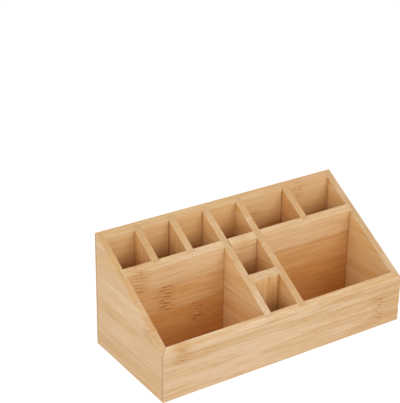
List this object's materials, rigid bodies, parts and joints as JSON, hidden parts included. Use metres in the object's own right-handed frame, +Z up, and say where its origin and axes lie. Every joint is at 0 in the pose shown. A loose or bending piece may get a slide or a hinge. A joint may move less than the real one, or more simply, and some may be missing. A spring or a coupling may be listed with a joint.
{
  "type": "sloped desk organizer",
  "caption": "Open bamboo desk organizer with a sloping top: mitred walls and housed, half-lapped dividers form a row of rear cells, two front bays and a centre column.",
  "frame": {"origin": "on the table, under the middle of the footprint", "axes": "+X to the right along the width, +Y to the back, +Z up"},
  "size_m": [0.3, 0.131, 0.1296],
  "materials": {
    "bamboo_walls": "satin, clear-coated laminated bamboo",
    "bamboo_dividers": "satin, clear-coated laminated bamboo",
    "bamboo_bottom": "satin, clear-coated laminated bamboo"
  },
  "bodies": {
    "root": {"front_panel": "bamboo_walls", "back_panel": "bamboo_walls", "left_side_panel": "bamboo_walls", "right_side_panel": "bamboo_walls", "bottom_panel": "bamboo_bottom", "cross_divider": "bamboo_dividers", "left_long_divider": "bamboo_dividers", "right_long_divider": "bamboo_dividers", "centre_divider": "bamboo_dividers", "rear_left_divider": "bamboo_dividers", "rear_middle_divider": "bamboo_dividers", "rear_right_divider": "bamboo_dividers"}
  },
  "joints": []
}
